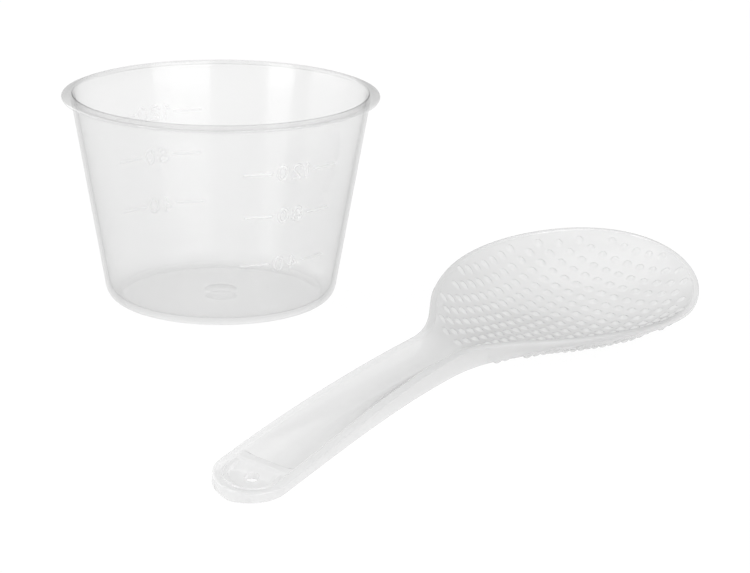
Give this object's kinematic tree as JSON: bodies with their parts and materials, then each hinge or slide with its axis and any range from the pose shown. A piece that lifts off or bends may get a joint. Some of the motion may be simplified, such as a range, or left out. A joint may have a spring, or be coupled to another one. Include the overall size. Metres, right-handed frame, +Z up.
{
  "type": "measuring cup and rice paddle",
  "caption": "Translucent measuring cup with raised graduations, and a nubbed serving paddle with a channelled handle, as supplied with a rice cooker.",
  "frame": {"origin": "centre of the measuring cup's foot, at table level", "axes": "+Z up along the cup's axis; the paddle lies in front of the cup towards -Y, its handle's end nearest, turned 58.4 degrees from +X towards +Y"},
  "size_m": [0.1605, 0.1916, 0.0536],
  "materials": {
    "cup_plastic": "smooth translucent polypropylene, satin sheen",
    "paddle_plastic": "frosted translucent polypropylene"
  },
  "bodies": {
    "cup": {"measuring_cup": "cup_plastic"},
    "paddle": {"rice_paddle": "paddle_plastic"}
  },
  "joints": [
    {"name": "paddle_lift", "type": "slide", "parent": "cup", "child": "paddle", "axis": [0, 0, 1], "range_m": [0, 0.12]}
  ]
}
